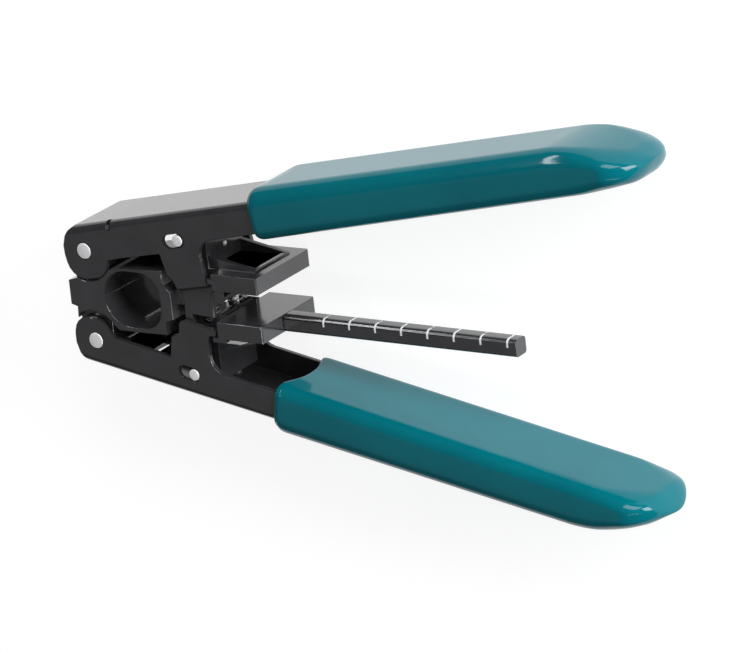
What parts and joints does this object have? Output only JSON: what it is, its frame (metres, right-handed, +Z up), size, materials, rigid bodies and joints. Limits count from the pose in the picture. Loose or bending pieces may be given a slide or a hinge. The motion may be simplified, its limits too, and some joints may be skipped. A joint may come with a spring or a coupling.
{
  "type": "drop cable stripper pliers",
  "caption": "Spring-open stripping pliers: two gripped channel handles close a pair of sliding jaws, with a graduated length bar.",
  "frame": {"origin": "middle of the bounding box at rest, on the surface that the tool lies on", "axes": "+X from the head along the tool to the handle tips, +Y from the lower handle to the upper handle, +Z up through the tool's thickness"},
  "size_m": [0.2228, 0.1262, 0.033],
  "materials": {
    "black_painted_steel": "semi-gloss black",
    "black_moulded": "satin black",
    "teal_grip": "gloss dipped vinyl, teal",
    "bright_steel": "bright turned",
    "blade_steel": "blackened tool steel",
    "spring_steel": "drawn wire",
    "dark_screw": "blackened"
  },
  "bodies": {
    "head_block": {"guide_body": "black_moulded", "upper_pivot_pin": "bright_steel", "lower_pivot_pin": "bright_steel", "guide_rod_left": "bright_steel", "guide_rod_right": "bright_steel", "upper_return_spring_left": "spring_steel", "upper_return_spring_right": "spring_steel", "lower_return_spring_left": "spring_steel", "lower_return_spring_right": "spring_steel"},
    "upper_handle": {"upper_handle_channel": "black_painted_steel", "upper_grip": "teal_grip"},
    "lower_handle": {"lower_handle_channel": "black_painted_steel", "lower_grip": "teal_grip"},
    "upper_carrier": {"upper_jaw_carrier": "black_moulded", "upper_slot_pin": "bright_steel", "upper_blade": "blade_steel", "upper_blade_clamp": "blade_steel", "upper_clamp_screw_left": "dark_screw", "upper_clamp_screw_right": "dark_screw", "upper_leg_rivet": "bright_steel"},
    "lower_carrier": {"lower_jaw_carrier": "black_moulded", "lower_slot_pin": "bright_steel", "lower_blade": "blade_steel", "lower_blade_clamp": "blade_steel", "lower_clamp_screw_left": "dark_screw", "lower_clamp_screw_right": "dark_screw", "scale_bar": "black_moulded", "scale_bar_screw_inner": "dark_screw", "scale_bar_screw_outer": "dark_screw"}
  },
  "joints": [
    {"name": "upper_handle_hinge", "type": "hinge", "parent": "head_block", "child": "upper_handle", "pos_m": [-0.10294, 0.01384, 0.0165], "axis": [0, 0, 1], "range_deg": [-7.2, 0], "stiffness_Nm_per_rad": 1.5, "springref_deg": 5.73},
    {"name": "lower_handle_hinge", "type": "hinge", "parent": "head_block", "child": "lower_handle", "pos_m": [-0.10294, -0.01767, 0.0165], "axis": [0, 0, 1], "range_deg": [0, 7.2], "stiffness_Nm_per_rad": 1.5, "springref_deg": -5.73},
    {"name": "upper_jaw_slide", "type": "slide", "parent": "head_block", "child": "upper_carrier", "axis": [0, -1, 0], "range_m": [0, 0.005], "deforming": ["upper_return_spring_left", "upper_return_spring_right"]},
    {"name": "lower_jaw_slide", "type": "slide", "parent": "head_block", "child": "lower_carrier", "axis": [0, 1, 0], "range_m": [0, 0.005], "deforming": ["lower_return_spring_left", "lower_return_spring_right"]}
  ],
  "couplings": [
    {"joint": "upper_jaw_slide", "follows": "upper_handle_hinge", "m_per_rad": -0.0397},
    {"joint": "lower_jaw_slide", "follows": "lower_handle_hinge", "m_per_rad": 0.0396}
  ]
}
